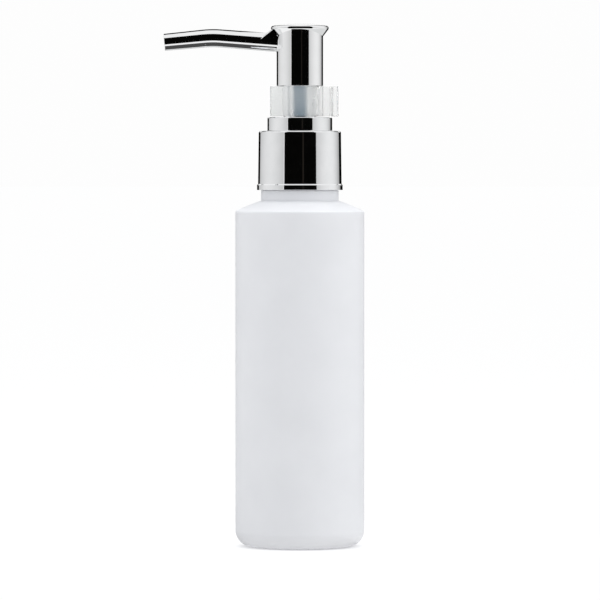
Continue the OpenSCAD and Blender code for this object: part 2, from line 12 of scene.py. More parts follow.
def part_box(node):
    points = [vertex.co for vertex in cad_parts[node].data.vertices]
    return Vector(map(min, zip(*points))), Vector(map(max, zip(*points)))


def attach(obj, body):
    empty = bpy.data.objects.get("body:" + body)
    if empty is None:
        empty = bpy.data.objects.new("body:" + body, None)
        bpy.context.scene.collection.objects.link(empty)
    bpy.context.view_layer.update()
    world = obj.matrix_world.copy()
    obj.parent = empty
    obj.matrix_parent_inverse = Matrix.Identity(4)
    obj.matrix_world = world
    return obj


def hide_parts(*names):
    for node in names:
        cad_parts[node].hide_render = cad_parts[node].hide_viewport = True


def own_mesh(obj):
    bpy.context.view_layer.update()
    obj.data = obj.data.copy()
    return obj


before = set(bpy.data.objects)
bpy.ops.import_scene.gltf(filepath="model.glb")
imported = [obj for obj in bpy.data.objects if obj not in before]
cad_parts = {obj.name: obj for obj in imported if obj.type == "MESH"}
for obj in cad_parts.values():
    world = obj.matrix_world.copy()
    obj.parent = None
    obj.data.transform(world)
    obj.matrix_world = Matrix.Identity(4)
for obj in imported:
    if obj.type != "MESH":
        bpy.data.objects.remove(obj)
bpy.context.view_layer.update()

MM = 0.001
ROUND_SEGMENTS = 192
# Distance from a rounding to the extra ring that keeps the flat beside it flat
SUPPORT = 0.04


# Levels and radii of the product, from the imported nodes

def node_top(name):
    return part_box(name)[1].z / MM


def node_bottom(name):
    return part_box(name)[0].z / MM


def node_reach(name):
    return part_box(name)[1].y / MM


TIER_TOP_Z = node_top("closure_shell")
CLOSURE_Z = node_bottom("closure_shell")
HEAD_Z = node_bottom("head")
HEAD_TOP_Z = node_top("head")
RIM_Z = node_top("bottle")
BOTTLE_R = node_reach("bottle")
TIP_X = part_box("head")[0].x / MM


# Profile and mesh builders

def arc(centre, radius, start, end, steps):
    points = []
    for i in range(steps + 1):
        angle = math.radians(start + (end - start) * i / steps)
        points.append((centre[0] + radius * math.cos(angle), centre[1] + radius * math.sin(angle)))
    return points


def rounded(corners, steps=7):
    """Rounds the corners of a polyline. A corner is (r, z) or (r, z, radius). The ends stay sharp."""
    points = []
    for i, corner in enumerate(corners):
        here = Vector(corner[:2])
        radius = corner[2] if len(corner) > 2 else 0
        if radius == 0 or i in (0, len(corners) - 1):
            points.append(tuple(here))
            continue
        before = Vector(corners[i - 1][:2]) - here
        after = Vector(corners[i + 1][:2]) - here
        half = before.angle(after) / 2
        reach = radius / math.tan(half)
        start = here + before.normalized() * reach
        end = here + after.normalized() * reach
        middle = (before.normalized() + after.normalized()).normalized()
        centre = here + middle * (radius / math.sin(half))
        a = math.atan2(start.y - centre.y, start.x - centre.x)
        b = math.atan2(end.y - centre.y, end.x - centre.x)
        turn = (b - a + math.pi) % (2 * math.pi) - math.pi
        for k in range(steps + 1):
            angle = a + turn * k / steps
            points.append((centre.x + radius * math.cos(angle), centre.y + radius * math.sin(angle)))
    return points


def supported(points):
    """Adds a point close to both ends of every long straight stretch."""
    result = [points[0]]
    for here, there in zip(points, points[1:]):
        a, b = Vector(here), Vector(there)
        length = (b - a).length
        if length > 4 * SUPPORT:
            way = (b - a) / length
            result.append(tuple(a + way * SUPPORT))
            result.append(tuple(b - way * SUPPORT))
        result.append(there)
    return result


def add_lathe(mesh, points, segments=ROUND_SEGMENTS, closed=False):
    """Turns a profile of (r, z) round the Z axis. A point on the axis becomes a pole."""
    rings = []
    for r, z in points:
        if r < 1e-6:
            rings.append([mesh.verts.new((0, 0, z))])
            continue
        ring = []
        for i in range(segments):
            angle = 2 * math.pi * i / segments
            ring.append(mesh.verts.new((r * math.cos(angle), r * math.sin(angle), z)))
        rings.append(ring)
    pairs = list(zip(rings, rings[1:]))
    if closed:
        pairs.append((rings[-1], rings[0]))
    for low, high in pairs:
        for i in range(segments):
            n = (i + 1) % segments
            if len(low) == 1 and len(high) == 1:
                continue
            if len(low) == 1:
                mesh.faces.new((low[0], high[n], high[i]))
            elif len(high) == 1:
                mesh.faces.new((low[i], low[n], high[0]))
            else:
                mesh.faces.new((low[i], low[n], high[n], high[i]))


def add_tube(mesh, rings):
    """Skins a list of rings of points and closes both ends."""
    loops = [[mesh.verts.new(p) for p in ring] for ring in rings]
    count = len(loops[0])
    for low, high in zip(loops, loops[1:]):
        for i in range(count):
            n = (i + 1) % count
            mesh.faces.new((low[i], low[n], high[n], high[i]))
    mesh.faces.new(list(reversed(loops[0])))
    mesh.faces.new(loops[-1])


def join_into(mesh, other):
    """Moves the faces of another bmesh into the first one."""
    data = bpy.data.meshes.new("joined")
    other.to_mesh(data)
    other.free()
    mesh.from_mesh(data)
    bpy.data.meshes.remove(data)


def new_piece(name, mesh, body, material, nodes=()):
    """Makes an object from a bmesh in millimetres, and puts it on its body."""
    bmesh.ops.recalc_face_normals(mesh, faces=mesh.faces)
    data = bpy.data.meshes.new(name)
    mesh.to_mesh(data)
    mesh.free()
    data.transform(Matrix.Scale(MM, 4))
    data.shade_smooth()
    piece = bpy.data.objects.new(name, data)
    bpy.context.scene.collection.objects.link(piece)
    data.materials.append(material)
    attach(piece, body)
    if nodes:
        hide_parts(*nodes)
    return piece


def keep_sharp(piece, angle=35):
    """Keeps the edges sharp that turn by more than the angle."""
    piece.data.set_sharp_from_angle(angle=math.radians(angle))


# Materials

# Nearly all values of a noise lie between these two
NOISE_RANGE = (0.3, 0.7)


def new_material(name):
    material = bpy.data.materials.new(name)
    material.use_nodes = True
    nodes = material.node_tree.nodes
    return material, material.node_tree, nodes["Principled BSDF"]


def object_place(tree, scale=(1, 1, 1)):
    """Object coordinates in metres, stretched by a scale."""
    coords = tree.nodes.new("ShaderNodeTexCoord")
    mapping = tree.nodes.new("ShaderNodeMapping")
    mapping.inputs["Scale"].default_value = scale
    tree.links.new(coords.outputs["Object"], mapping.inputs["Vector"])
    return mapping.outputs["Vector"]


def noise(tree, place, scale, detail=3.0, roughness=0.5):
    node = tree.nodes.new("ShaderNodeTexNoise")
    node.inputs["Scale"].default_value = scale
    node.inputs["Detail"].default_value = detail
    node.inputs["Roughness"].default_value = roughness
    tree.links.new(place, node.inputs["Vector"])
    return node.outputs["Fac"]


def map_range(tree, value, source, target):
    node = tree.nodes.new("ShaderNodeMapRange")
    node.inputs["From Min"].default_value = source[0]
    node.inputs["From Max"].default_value = source[1]
    node.inputs["To Min"].default_value = target[0]
    node.inputs["To Max"].default_value = target[1]
    tree.links.new(value, node.inputs["Value"])
    return node.outputs["Result"]


def spread(tree, noise_value, low, high):
    """Maps the usual range of a noise to another one."""
    return map_range(tree, noise_value, NOISE_RANGE, (low, high))


def tint(tree, noise_value, low, high):
    """Blends two colours over the usual range of a noise."""
    ramp = tree.nodes.new("ShaderNodeValToRGB")
    ramp.color_ramp.elements[0].position = NOISE_RANGE[0]
    ramp.color_ramp.elements[1].position = NOISE_RANGE[1]
    ramp.color_ramp.elements[0].color = (*low, 1)
    ramp.color_ramp.elements[1].color = (*high, 1)
    tree.links.new(noise_value, ramp.inputs["Fac"])
    return ramp.outputs["Color"]


def bump(tree, bsdf, height, distance, strength=1.0):
    node = tree.nodes.new("ShaderNodeBump")
    node.inputs["Strength"].default_value = strength
    node.inputs["Distance"].default_value = distance
    tree.links.new(height, node.inputs["Height"])
    tree.links.new(node.outputs["Normal"], bsdf.inputs["Normal"])


def plastic(name, low, high, roughness, grain_scale, grain_depth, transmission=0.0, ior=1.5,
            subsurface=0.0):
    """Moulded plastic: slight cloudiness, a fine grain in the surface and uneven gloss."""
    material, tree, bsdf = new_material(name)
    place = object_place(tree)
    cloud = noise(tree, place, 60, 3)
    grain = noise(tree, place, grain_scale, 4, 0.6)
    tree.links.new(tint(tree, cloud, low, high), bsdf.inputs["Base Color"])
    tree.links.new(spread(tree, grain, roughness - 0.05, roughness + 0.05), bsdf.inputs["Roughness"])
    bump(tree, bsdf, grain, grain_depth)
    bsdf.inputs["IOR"].default_value = ior
    bsdf.inputs["Transmission Weight"].default_value = transmission
    if subsurface:
        bsdf.inputs["Subsurface Weight"].default_value = subsurface
        bsdf.inputs["Subsurface Radius"].default_value = (1, 1, 1)
        bsdf.inputs["Subsurface Scale"].default_value = 0.004
    return material


def chrome(name, low, high, roughness, polish_depth):
    """Polished metal: faint cloudiness in the gloss and very shallow polishing waves."""
    material, tree, bsdf = new_material(name)
    place = object_place(tree)
    cloud = noise(tree, place, 180, 3)
    waves = noise(tree, object_place(tree, (1, 1, 0.25)), 90, 2)
    tree.links.new(tint(tree, cloud, low, high), bsdf.inputs["Base Color"])
    tree.links.new(spread(tree, cloud, roughness * 0.7, roughness * 1.3), bsdf.inputs["Roughness"])
    bump(tree, bsdf, waves, polish_depth)
    bsdf.inputs["Metallic"].default_value = 1.0
    return material


def steel(name):
    """Drawn steel: fine lines along the wire's run and a soft sheen."""
    material, tree, bsdf = new_material(name)
    lines = noise(tree, object_place(tree, (1, 1, 12)), 900, 3)
    tree.links.new(tint(tree, lines, (0.5, 0.5, 0.5), (0.66, 0.65, 0.64)), bsdf.inputs["Base Color"])
    tree.links.new(spread(tree, lines, 0.2, 0.34), bsdf.inputs["Roughness"])
    bump(tree, bsdf, lines, 0.00001)
    bsdf.inputs["Metallic"].default_value = 1.0
    return material


bottle_plastic = plastic("bottle_plastic", (0.735, 0.74, 0.765), (0.765, 0.77, 0.795), 0.5, 2600,
                         0.00001, ior=1.45, subsurface=0.3)
head_chrome = chrome("head_chrome", (0.84, 0.845, 0.85), (0.88, 0.885, 0.89), 0.035, 0.000004)
hub_satin = chrome("hub_satin", (0.9, 0.91, 0.92), (0.94, 0.945, 0.95), 0.36, 0.000004)
shell_chrome = chrome("closure_chrome", (0.82, 0.83, 0.84), (0.87, 0.875, 0.885), 0.045, 0.000005)
clip_plastic = plastic("clip_plastic", (0.98, 0.985, 0.98), (1, 1, 0.995), 0.22, 900, 0.000003,
                       transmission=0.86, ior=1.28)
pump_plastic = plastic("pump_plastic", (0.78, 0.78, 0.76), (0.82, 0.82, 0.8), 0.32, 1500, 0.000008)
seal_plastic = plastic("seal_plastic", (0.6, 0.63, 0.64), (0.66, 0.69, 0.7), 0.38, 1500, 0.000008)
tube_plastic = plastic("tube_plastic", (0.88, 0.9, 0.9), (0.93, 0.945, 0.945), 0.4, 600, 0.000002,
                       transmission=0.35, ior=1.3)
gasket_foam = plastic("gasket_foam", (0.7, 0.7, 0.66), (0.8, 0.8, 0.76), 0.85, 5000, 0.00004)
wire_steel = steel("wire_steel")


# Bottle

BASE_CORNER_R = 5.5
PUSH_UP_R = 14.2
PUSH_UP_DEPTH = 1.0
SHOULDER_EDGE_R = 0.7
SHOULDER_Z = 114.3
SHOULDER_RISE = 3.3
SHOULDER_CROWN = 0.25
NECK_STEP_R = 13.16
NECK_STEP_EDGE_R = 0.3
NECK_FOOT_LIFT = 0.1
NECK_R = 10.85
NECK_FILLET_R = 0.3
NECK_EDGE_R = 0.25
NECK_BORE_R = 9.0
BOTTLE_WALL = 1.1
FOOT_Z = SHOULDER_Z + SHOULDER_RISE
STEP_TOP_Z = CLOSURE_Z - 0.2
THREAD_PITCH = 3.175
THREAD_Z = RIM_Z - 11.2
THREAD_ROOT_W = 1.5
THREAD_CREST_W = 0.7
THREAD_BURY = 0.25
THREAD_STEPS = 96
NECK_THREAD_TURNS = 1.6
INSERT_THREAD_TURNS = 1.5
NECK_THREAD_R = 11.95
SKIRT_IN_R = 12.25


def push_up_points(lift, steps=24):
    points = []
    for i in range(steps + 1):
        share = i / steps
        points.append((PUSH_UP_R * share, lift + PUSH_UP_DEPTH * (1 + math.cos(math.pi * share)) / 2))
    return points


def shoulder_points(wall, steps=24):
    slope = math.degrees(math.atan(SHOULDER_RISE * (1 + SHOULDER_CROWN) / (BOTTLE_R - NECK_STEP_R)))
    edge_r = max(SHOULDER_EDGE_R - wall, SHOULDER_EDGE_R / 8)
    centre = (BOTTLE_R - wall - edge_r, SHOULDER_Z - wall - edge_r)
    points = arc(centre, edge_r, 0, 90 - slope, 9)
    start = points[-1]
    run = start[0] - (NECK_STEP_R - wall)
    for i in range(1, steps + 1):
        share = i / steps
        rise = SHOULDER_RISE * share * (1 + SHOULDER_CROWN * (1 - share))
        points.append((start[0] - run * share, start[1] + rise))
    return points


def add_thread(mesh, root_r, crest_r, low_z, turns, fade=0.12):
    """Screw thread: a trapezoid swept along a helix. It sinks into its wall at both ends."""
    steps = int(turns * THREAD_STEPS)
    rings = []
    bury = math.copysign(THREAD_BURY, root_r - crest_r)
    for i in range(steps + 1):
        turn = turns * i / steps
        height = min(1, turn / fade, (turns - turn) / fade)
        crest = root_r + (crest_r - root_r) * height * height * (3 - 2 * height)
        angle = 2 * math.pi * turn
        z = low_z + THREAD_PITCH * turn
        section = [(root_r + bury, -THREAD_ROOT_W / 2), (root_r, -THREAD_ROOT_W / 2),
                   (crest, -THREAD_CREST_W / 2), (crest, THREAD_CREST_W / 2),
                   (root_r, THREAD_ROOT_W / 2), (root_r + bury, THREAD_ROOT_W / 2)]
        rings.append([(r * math.cos(angle), r * math.sin(angle), z + dz) for r, dz in section])
    add_tube(mesh, rings)


def make_bottle():
    mesh = bmesh.new()
    inner_corner_r = BASE_CORNER_R - BOTTLE_WALL
    base_centre = (BOTTLE_R - BASE_CORNER_R, BASE_CORNER_R)
    outer = push_up_points(0)
    outer += arc(base_centre, BASE_CORNER_R, -90, 0, 16)
    outer += shoulder_points(0)
    outer += rounded([
        (NECK_STEP_R, FOOT_Z + NECK_FOOT_LIFT),
        (NECK_STEP_R, STEP_TOP_Z, NECK_STEP_EDGE_R),
        (NECK_R, STEP_TOP_Z, NECK_FILLET_R),
        (NECK_R, RIM_Z, NECK_EDGE_R),
        (NECK_BORE_R, RIM_Z, NECK_EDGE_R),
        (NECK_BORE_R, (FOOT_Z + STEP_TOP_Z) / 2),
    ])
    inner = push_up_points(BOTTLE_WALL)
    inner += arc(base_centre, inner_corner_r, -90, 0, 12)
    inner += shoulder_points(BOTTLE_WALL)
    add_lathe(mesh, supported(outer + list(reversed(inner))))
    add_thread(mesh, NECK_R, NECK_THREAD_R, THREAD_Z, NECK_THREAD_TURNS)
    piece = new_piece("bottle_blown", mesh, "bottle", bottle_plastic, ["bottle"])
    keep_sharp(piece, 50)


make_bottle()


# Closure

MAIN_R_BOTTOM = 14.2
MAIN_R_TOP = 13.97
BEAD_R = 14.55
SHELL_FOOT_Z = CLOSURE_Z - 0.2
BEAD_TOP_Z = CLOSURE_Z + 1.84
UPPER_R = 11.0
TIER_Z = TIER_TOP_Z - 4.66
SHELL_WALL = 0.5
SHELL_HOLE_R = 6.05
SHELL_SEAM_Z = CLOSURE_Z + 1
SHELL_HEM_R = 0.12
BEAD_SLOPE_H = 0.4
BEAD_EDGE_R = 0.06
TIER_EDGE_R = 0.75
TOP_EDGE_R = 0.5
TIER_FILLET_R = 0.15
HOLE_EDGE_R = 0.15
HOLE_INNER_EDGE_R = 0.1
TOP_INNER_R = 0.2
TIER_INNER_R = 0.25


def make_closure_shell():
    mesh = bmesh.new()
    in_r = MAIN_R_TOP - SHELL_WALL
    outline = [
        (MAIN_R_BOTTOM - SHELL_WALL, SHELL_SEAM_Z, 0),
        (MAIN_R_BOTTOM - SHELL_WALL, SHELL_FOOT_Z, SHELL_HEM_R),
        (BEAD_R, SHELL_FOOT_Z, SHELL_HEM_R),
        (BEAD_R, BEAD_TOP_Z - BEAD_SLOPE_H, BEAD_EDGE_R),
        (MAIN_R_BOTTOM, BEAD_TOP_Z, BEAD_EDGE_R),
        (MAIN_R_TOP, TIER_Z, TIER_EDGE_R),
        (UPPER_R, TIER_Z, TIER_FILLET_R),
        (UPPER_R, TIER_TOP_Z, TOP_EDGE_R),
        (SHELL_HOLE_R, TIER_TOP_Z, HOLE_EDGE_R),
        (SHELL_HOLE_R, TIER_TOP_Z - SHELL_WALL, HOLE_INNER_EDGE_R),
        (UPPER_R - SHELL_WALL, TIER_TOP_Z - SHELL_WALL, TOP_INNER_R),
        (UPPER_R - SHELL_WALL, TIER_Z - SHELL_WALL, TIER_FILLET_R),
        (in_r, TIER_Z - SHELL_WALL, TIER_INNER_R),
        (MAIN_R_BOTTOM - SHELL_WALL, SHELL_SEAM_Z, 0),
    ]
    points = supported(rounded(outline))
    add_lathe(mesh, points[:-1], closed=True)
    new_piece("closure_shell_spun", mesh, "closure", shell_chrome, ["closure_shell"])


def make_insert_thread():
    """Thread inside the insert. It sits half a pitch under the neck's thread."""
    mesh = bmesh.new()
    clearance = SKIRT_IN_R - NECK_THREAD_R
    low_z = THREAD_Z - THREAD_PITCH / 2
    add_thread(mesh, SKIRT_IN_R, NECK_R + clearance, low_z, INSERT_THREAD_TURNS)
    piece = new_piece("insert_thread", mesh, "closure", pump_plastic)
    keep_sharp(piece, 50)


make_closure_shell()
make_insert_thread()


# Head

HEAD_R = 7.88
HEAD_FOOT_Z = HEAD_Z - 0.2
FLARE_H = 3.6
RIM_R = 9.8
RIM_SIDE_R = 8.03
RIM_EDGE_R = 0.8
DOME_RISE = 0.75
DOME_POWER = 2.2
DOME_STEPS = 32
CORE_SEAT_R = 5.5
CORE_SEAT_H = 8.55
SEAT_EDGE_R = 0.15
BODY_EDGE_R = 0.1
STEM_BORE_R = 1.6
RIM_TOP_Z = HEAD_TOP_Z - DOME_RISE
FLARE_Z = RIM_TOP_Z - FLARE_H
NOZZLE_Z = FLARE_Z - 2.7
NOZZLE_START_X = -4.0
BEND_X = -29.7
RISE = math.radians(4.35)
FALL = math.radians(5.3)
BEND_LINE_R = 33.0
ROOT_R = 3.1
BEND_R = 3.04
TIP_R = 2.86
BORE_R = 1.9
TIP_INSET = 0.3
TIP_EDGE_R = 0.18
TIP_LAND = 1.0
ROOT_FILLET_R = 0.4
# Where along the nozzle's first stretch the blend takes the tube's radius
ROOT_FILLET_SHARE = 0.25
ROOT_FILLET_SINK = 0.4
GUSSET_REACH = 14.5
GUSSET_EDGE_R = 0.6
GUSSET_SIDE_INSET = 0.05
GUSSET_TOP_INSET = 0.3
GUSSET_TOP_DROP = 1.2
BEND_Z = NOZZLE_Z - BEND_X * math.tan(RISE)
TIP_Z = BEND_Z - (BEND_X - TIP_X) * math.tan(FALL)


def flare_lean():
    """Angle of the flare's side above the level, where it meets the rim's rounding."""
    run = RIM_R - RIM_EDGE_R - HEAD_R
    rise = FLARE_H - RIM_EDGE_R
    return math.atan2(rise, run) - math.asin(RIM_EDGE_R / math.hypot(run, rise))


def body_profile():
    """Round body of the head with its seat and passage, up to the rim's edge."""
    points = [(0, NOZZLE_Z)]
    points += rounded([
        (STEM_BORE_R, NOZZLE_Z),
        (STEM_BORE_R, HEAD_Z + CORE_SEAT_H, BODY_EDGE_R),
        (CORE_SEAT_R, HEAD_Z + CORE_SEAT_H, BODY_EDGE_R),
        (CORE_SEAT_R, HEAD_FOOT_Z, SEAT_EDGE_R),
        (HEAD_R, HEAD_FOOT_Z, BODY_EDGE_R),
        (HEAD_R, RIM_TOP_Z - RIM_EDGE_R),
    ])
    points.append((0, RIM_TOP_Z - RIM_EDGE_R))
    return supported(points)


def flare_profile():
    """Flare, rim and domed top along the nozzle's direction, squeezed in the other one."""
    points = [(0, FLARE_Z), (HEAD_R, FLARE_Z)]
    points += arc((RIM_R - RIM_EDGE_R, RIM_TOP_Z - RIM_EDGE_R), RIM_EDGE_R,
                  math.degrees(flare_lean()) - 90, 90, 16)
    for i in range(1, DOME_STEPS + 1):
        share = 1 - (i / DOME_STEPS) ** 2
        rise = DOME_RISE * (1 - share ** DOME_POWER)
        points.append(((RIM_R - RIM_EDGE_R) * share, RIM_TOP_Z + rise))
    return supported(points)


def head_reach_at(point):
    """How far a point is inside the head's skin, as a share: below 1 is inside."""
    inside_body = math.hypot(point.x, point.y) / HEAD_R
    if point.z < FLARE_Z:
        return inside_body
    flare = HEAD_R + (point.z - FLARE_Z) / math.tan(flare_lean())
    return min(inside_body, math.hypot(point.x, point.y * RIM_R / RIM_SIDE_R) / flare)


def nozzle_line(steps=24):
    """Points along the nozzle's axis from inside the head to the tip, each with its outside radius."""
    bend = Vector((BEND_X, 0, BEND_Z))
    toward_head = Vector((math.cos(RISE), 0, -math.sin(RISE)))
    toward_tip = Vector((-math.cos(FALL), 0, -math.sin(FALL)))
    tangent = BEND_LINE_R * math.tan((RISE + FALL) / 2)
    start = Vector((NOZZLE_START_X, 0, NOZZLE_Z - NOZZLE_START_X * math.tan(RISE)))
    arc_start = bend + toward_head * tangent
    arc_end = bend + toward_tip * tangent
    tip = Vector((TIP_X + TIP_INSET, 0, TIP_Z))
    line = []
    for i in range(steps):
        share = i / steps
        line.append((start.lerp(arc_start, share), ROOT_R + (BEND_R - ROOT_R) * share))
    for i in range(steps):
        share = i / steps
        curve = arc_start.lerp(bend, share).lerp(bend.lerp(arc_end, share), share)
        line.append((curve, BEND_R))
    for i in range(steps + 1):
        share = i / steps
        line.append((arc_end.lerp(tip, share), BEND_R + (TIP_R - BEND_R) * share))
    return line


def ring_round(point, way, radius, count=96):
    """Ring of points round a line that lies in the XZ plane."""
    side = Vector((0, 1, 0))
    up = way.cross(side).normalized()
    ring = []
    for i in range(count):
        angle = 2 * math.pi * i / count
        ring.append(tuple(point + side * (radius * math.cos(angle)) + up * (radius * math.sin(angle))))
    return ring


def add_nozzle(mesh):
    line = nozzle_line()
    points = [p for p, _ in line]
    ways = []
    for i in range(len(points)):
        ways.append((points[min(i + 1, len(points) - 1)] - points[max(i - 1, 0)]).normalized())
    rings = [ring_round(p, w, r) for (p, r), w in zip(line[:-1], ways[:-1])]
    tip, way = points[-1], ways[-1]
    mouth = [(TIP_R, TIP_LAND), (TIP_R, 0, TIP_EDGE_R), (BORE_R, 0, TIP_EDGE_R), (BORE_R, TIP_LAND)]
    for r, back in rounded(mouth, 5):
        rings.append(ring_round(tip - way * back, way, r))
    for p, w in zip(reversed(points[:-2]), reversed(ways[:-2])):
        rings.append(ring_round(p, w, BORE_R))
    add_tube(mesh, rings)


def on_head(offset, angle):
    """Where a line beside the nozzle's axis meets the head: offset is its distance from the axis."""
    way = Vector((-math.cos(RISE), 0, math.sin(RISE)))
    side = Vector((0, 1, 0))
    up = way.cross(side).normalized()
    if up.z < 0:
        up = -up
    base = Vector((0, 0, NOZZLE_Z)) + side * (offset * math.cos(angle)) + up * (offset * math.sin(angle))
    low, high = 0.0, 20.0
    for _ in range(40):
        middle = (low + high) / 2
        point = base + way * middle
        if head_reach_at(point) < 1:
            low = middle
        else:
            high = middle
    return base + way * low


def add_root_fillet(mesh):
    """Concave ring that blends the nozzle into the head, closed by two hidden faces."""
    way = Vector((-math.cos(RISE), 0, math.sin(RISE)))
    count = 96
    steps = 8
    tube_r = ROOT_R - (ROOT_R - BEND_R) * ROOT_FILLET_SHARE
    sections = []
    for i in range(count):
        angle = 2 * math.pi * i / count
        corner = on_head(tube_r, angle)
        on_wall = on_head(tube_r + ROOT_FILLET_R, angle)
        on_tube = corner + way * ROOT_FILLET_R
        section = []
        for k in range(steps + 1):
            share = k / steps
            section.append(on_tube.lerp(corner, share).lerp(corner.lerp(on_wall, share), share))
        inward = on_head(tube_r - ROOT_FILLET_SINK, angle) - way * ROOT_FILLET_SINK
        section.append(inward)
        sections.append(section)
    verts = [[mesh.verts.new(tuple(p)) for p in section] for section in sections]
    size = len(verts[0])
    for i in range(count):
        here, there = verts[i], verts[(i + 1) % count]
        for k in range(size):
            n = (k + 1) % size
            mesh.faces.new((here[k], here[n], there[n], there[k]))


def add_gusset(mesh):
    """Wedge from the rim down to the nozzle's side, with two rounded edges and a level foot."""
    high = Vector((-RIM_R + GUSSET_TOP_INSET, 0, RIM_TOP_Z - GUSSET_TOP_DROP))
    low = Vector((-GUSSET_REACH, 0, NOZZLE_Z + GUSSET_REACH * math.tan(RISE)))
    half_w = ROOT_R - GUSSET_SIDE_INSET
    edge_y = half_w - GUSSET_EDGE_R
    slope = (high - low).normalized()
    inward = Vector((slope.z, 0, -slope.x))
    edge = arc((edge_y, GUSSET_EDGE_R), GUSSET_EDGE_R, -90, 0, 9)
    steps = 12
    rings = []
    for i in range(steps + 1):
        place = low.lerp(high, i / steps)
        foot = max((place.z - low.z) / -inward.z, GUSSET_EDGE_R)
        section = [(-half_w, foot)] + [(-y, d) for y, d in reversed(edge)] + edge + [(half_w, foot)]
        rings.append([tuple(place + Vector((0, y, 0)) + inward * d) for y, d in section])
    add_tube(mesh, rings)


def make_head():
    mesh = bmesh.new()
    add_lathe(mesh, body_profile())
    squeezed = bmesh.new()
    add_lathe(squeezed, flare_profile())
    bmesh.ops.scale(squeezed, vec=(1, RIM_SIDE_R / RIM_R, 1), verts=squeezed.verts)
    join_into(mesh, squeezed)
    add_nozzle(mesh)
    add_root_fillet(mesh)
    add_gusset(mesh)
    piece = new_piece("head_plated", mesh, "head", head_chrome, ["head"])
    keep_sharp(piece, 40)


make_head()


# Lock clip

CLIP_GAP = 0.4
CLIP_IN_R = 5.9
CLIP_OUT_R = 7.85
MOUTH = math.radians(40)
LIP_T = 1.3
LIP_TIP = (-10 + LIP_T / 2, 6.0)
GRIP_X = 13.1
GRIP_T = 2.5
GRIP_W = 13.0
WEB_T = 2.0
WEB_FILLET_R = 0.5
CLIP_EDGE_R = 0.4


def line_meets_circle(start, end, radius):
    """First point on the line from start to end that is at the radius from the axis."""
    a, b = Vector(start), Vector(end)
    low, high = 0.0, 1.0
    inside = a.length < radius
    for _ in range(50):
        middle = (low + high) / 2
        if (a.lerp(b, middle).length < radius) == inside:
            low = middle
        else:
            high = middle
    return a.lerp(b, low)


def clip_half():
    """Outline of the clip's half on the +Y side, from the grip round to the inner circle."""
    grip_mid = GRIP_X - GRIP_T / 2
    points = arc((grip_mid, (GRIP_W - GRIP_T) / 2), GRIP_T / 2, 0, 180, 12)
    points += arc((GRIP_X - GRIP_T - WEB_FILLET_R, WEB_T / 2 + WEB_FILLET_R), WEB_FILLET_R, 0, -90, 5)
    web_angle = math.degrees(math.asin(WEB_T / 2 / CLIP_OUT_R))
    middle_r = (CLIP_IN_R + CLIP_OUT_R) / 2
    root = Vector((-middle_r * math.cos(MOUTH), middle_r * math.sin(MOUTH)))
    tip = Vector(LIP_TIP)
    way = (tip - root).normalized()
    side = Vector((-way.y, way.x))
    if side.y < 0:
        side = -side
    outer_start = tip + side * (LIP_T / 2)
    outer_hit = line_meets_circle(outer_start, root + side * (LIP_T / 2), CLIP_OUT_R)
    outer_angle = math.degrees(math.atan2(outer_hit.y, outer_hit.x))
    points += arc((0, 0), CLIP_OUT_R, web_angle + 2, outer_angle - 1, 48)
    turn = math.degrees(math.atan2(side.y, side.x))
    points.append(tuple(outer_hit))
    points += arc(tuple(tip), LIP_T / 2, turn, turn + 180, 12)
    mouth_deg = 180 - math.degrees(MOUTH)
    points.append(tuple(root - side * (LIP_T / 2)))
    points += arc((0, 0), CLIP_IN_R, mouth_deg, 0, 48)
    return points


def apply_modifiers(piece):
    graph = bpy.context.evaluated_depsgraph_get()
    data = bpy.data.meshes.new_from_object(piece.evaluated_get(graph))
    piece.modifiers.clear()
    piece.data = data
    data.shade_smooth()
    keep_sharp(piece, 40)


def make_clip():
    mesh = bmesh.new()
    half = clip_half()
    other = [(x, -y) for x, y in reversed(half) if abs(y) > 1e-6]
    outline = half + other
    low_z = TIER_TOP_Z + CLIP_GAP
    high_z = HEAD_Z - CLIP_GAP
    rings = [[(x, y, z) for x, y in outline] for z in (low_z, high_z)]
    add_tube(mesh, rings)
    piece = new_piece("lock_clip_moulded", mesh, "lock_clip", clip_plastic, ["lock_clip"])
    soft_edges = piece.modifiers.new("soft_edges", "BEVEL")
    soft_edges.width = CLIP_EDGE_R * MM
    soft_edges.segments = 4
    soft_edges.limit_method = "ANGLE"
    soft_edges.angle_limit = math.radians(45)
    apply_modifiers(piece)
    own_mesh(piece)


make_clip()


# Inner pieces

SPRING_R = 3.45
WIRE_R = 0.35
SPRING_COILS = 7.5
SPRING_STEPS = 40
WIRE_SEGMENTS = 14


def make_spring():
    mesh = bmesh.new()
    low_z = node_bottom("return_spring")
    length = node_top("return_spring") - low_z
    closed = 2 * WIRE_R
    lead = (length - 2 * WIRE_R - 2 * closed) / (SPRING_COILS - 2)
    steps = int(SPRING_COILS * SPRING_STEPS)
    rings = []
    for i in range(steps + 1):
        turn = SPRING_COILS * i / steps
        if turn < 1:
            z = closed * turn
        elif turn < SPRING_COILS - 1:
            z = closed + lead * (turn - 1)
        else:
            z = closed + lead * (SPRING_COILS - 2) + closed * (turn - SPRING_COILS + 1)
        angle = 2 * math.pi * turn
        ring = []
        for k in range(WIRE_SEGMENTS):
            around = 2 * math.pi * k / WIRE_SEGMENTS
            r = SPRING_R + WIRE_R * math.cos(around)
            height = low_z + WIRE_R + z + WIRE_R * math.sin(around)
            ring.append((r * math.cos(angle), r * math.sin(angle), height))
        rings.append(ring)
    add_tube(mesh, rings)
    piece = new_piece("return_spring_wire", mesh, "pump_body", wire_steel, ["return_spring"])
    keep_sharp(piece, 60)
    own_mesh(piece)


make_spring()


def dress(node, material):
    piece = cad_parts[node]
    piece.data.materials.clear()
    piece.data.materials.append(material)


